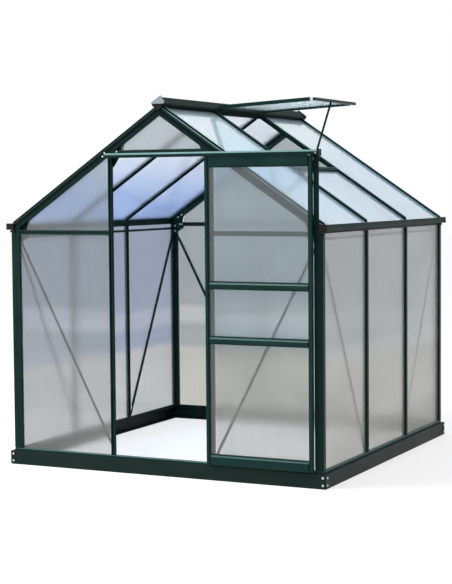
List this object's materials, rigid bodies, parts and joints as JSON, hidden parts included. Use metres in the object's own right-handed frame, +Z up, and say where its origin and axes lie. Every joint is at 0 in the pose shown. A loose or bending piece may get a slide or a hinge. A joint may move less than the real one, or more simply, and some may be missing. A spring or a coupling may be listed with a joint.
{
  "type": "polycarbonate greenhouse",
  "caption": "Walk-in garden greenhouse with a green aluminium frame, twin-wall glazing, a sliding door on an overhead track and an open roof vent.",
  "frame": {"origin": "middle of the footprint at ground level", "axes": "+X along the front gable towards the open door, +Y from front to back, +Z up"},
  "size_m": [1.924, 1.945, 2.0247],
  "materials": {
    "green_frame": "dark green powder coat with a soft sheen",
    "green_base": "dark green painted folded steel, slightly dull",
    "twin_wall_sheet": "translucent twin-wall polycarbonate with fine flutes",
    "black_cap": "moulded black plastic"
  },
  "bodies": {
    "greenhouse": {"base_front": "green_base", "base_back": "green_base", "base_sides": "green_base", "base_corner_brackets": "green_base", "sill_front": "green_frame", "sill_back": "green_frame", "sill_sides": "green_frame", "corner_posts": "green_frame", "side_studs": "green_frame", "door_posts": "green_frame", "back_studs": "green_frame", "gutters": "green_frame", "gutter_end_caps": "black_cap", "eaves_beam_front": "green_frame", "eaves_beam_back": "green_frame", "front_rafters": "green_frame", "back_rafters": "green_frame", "roof_bars": "green_frame", "ridge": "green_frame", "ridge_end_caps": "black_cap", "door_header": "green_frame", "gusset_plates": "green_frame", "door_track": "green_frame", "track_end_stop": "black_cap", "track_upright": "green_frame", "front_braces": "green_frame", "side_braces": "green_frame", "back_braces": "green_frame", "front_wall_panels": "twin_wall_sheet", "front_gable_panels": "twin_wall_sheet", "left_wall_panels": "twin_wall_sheet", "right_wall_panels": "twin_wall_sheet", "back_wall_panels": "twin_wall_sheet", "back_gable_panels": "twin_wall_sheet", "left_roof_panels": "twin_wall_sheet", "right_roof_panels": "twin_wall_sheet", "vent_side_bars": "green_frame", "vent_end_rails": "green_frame", "vent_panel": "twin_wall_sheet", "vent_sill": "green_frame", "vent_stay": "green_frame"},
    "sliding_door": {"door_stiles": "green_frame", "door_rails": "green_frame", "door_panes": "twin_wall_sheet", "door_rollers": "black_cap"}
  },
  "joints": [
    {"name": "door_slide", "type": "slide", "parent": "greenhouse", "child": "sliding_door", "axis": [1, 0, 0], "range_m": [-0.5835, 0]}
  ]
}
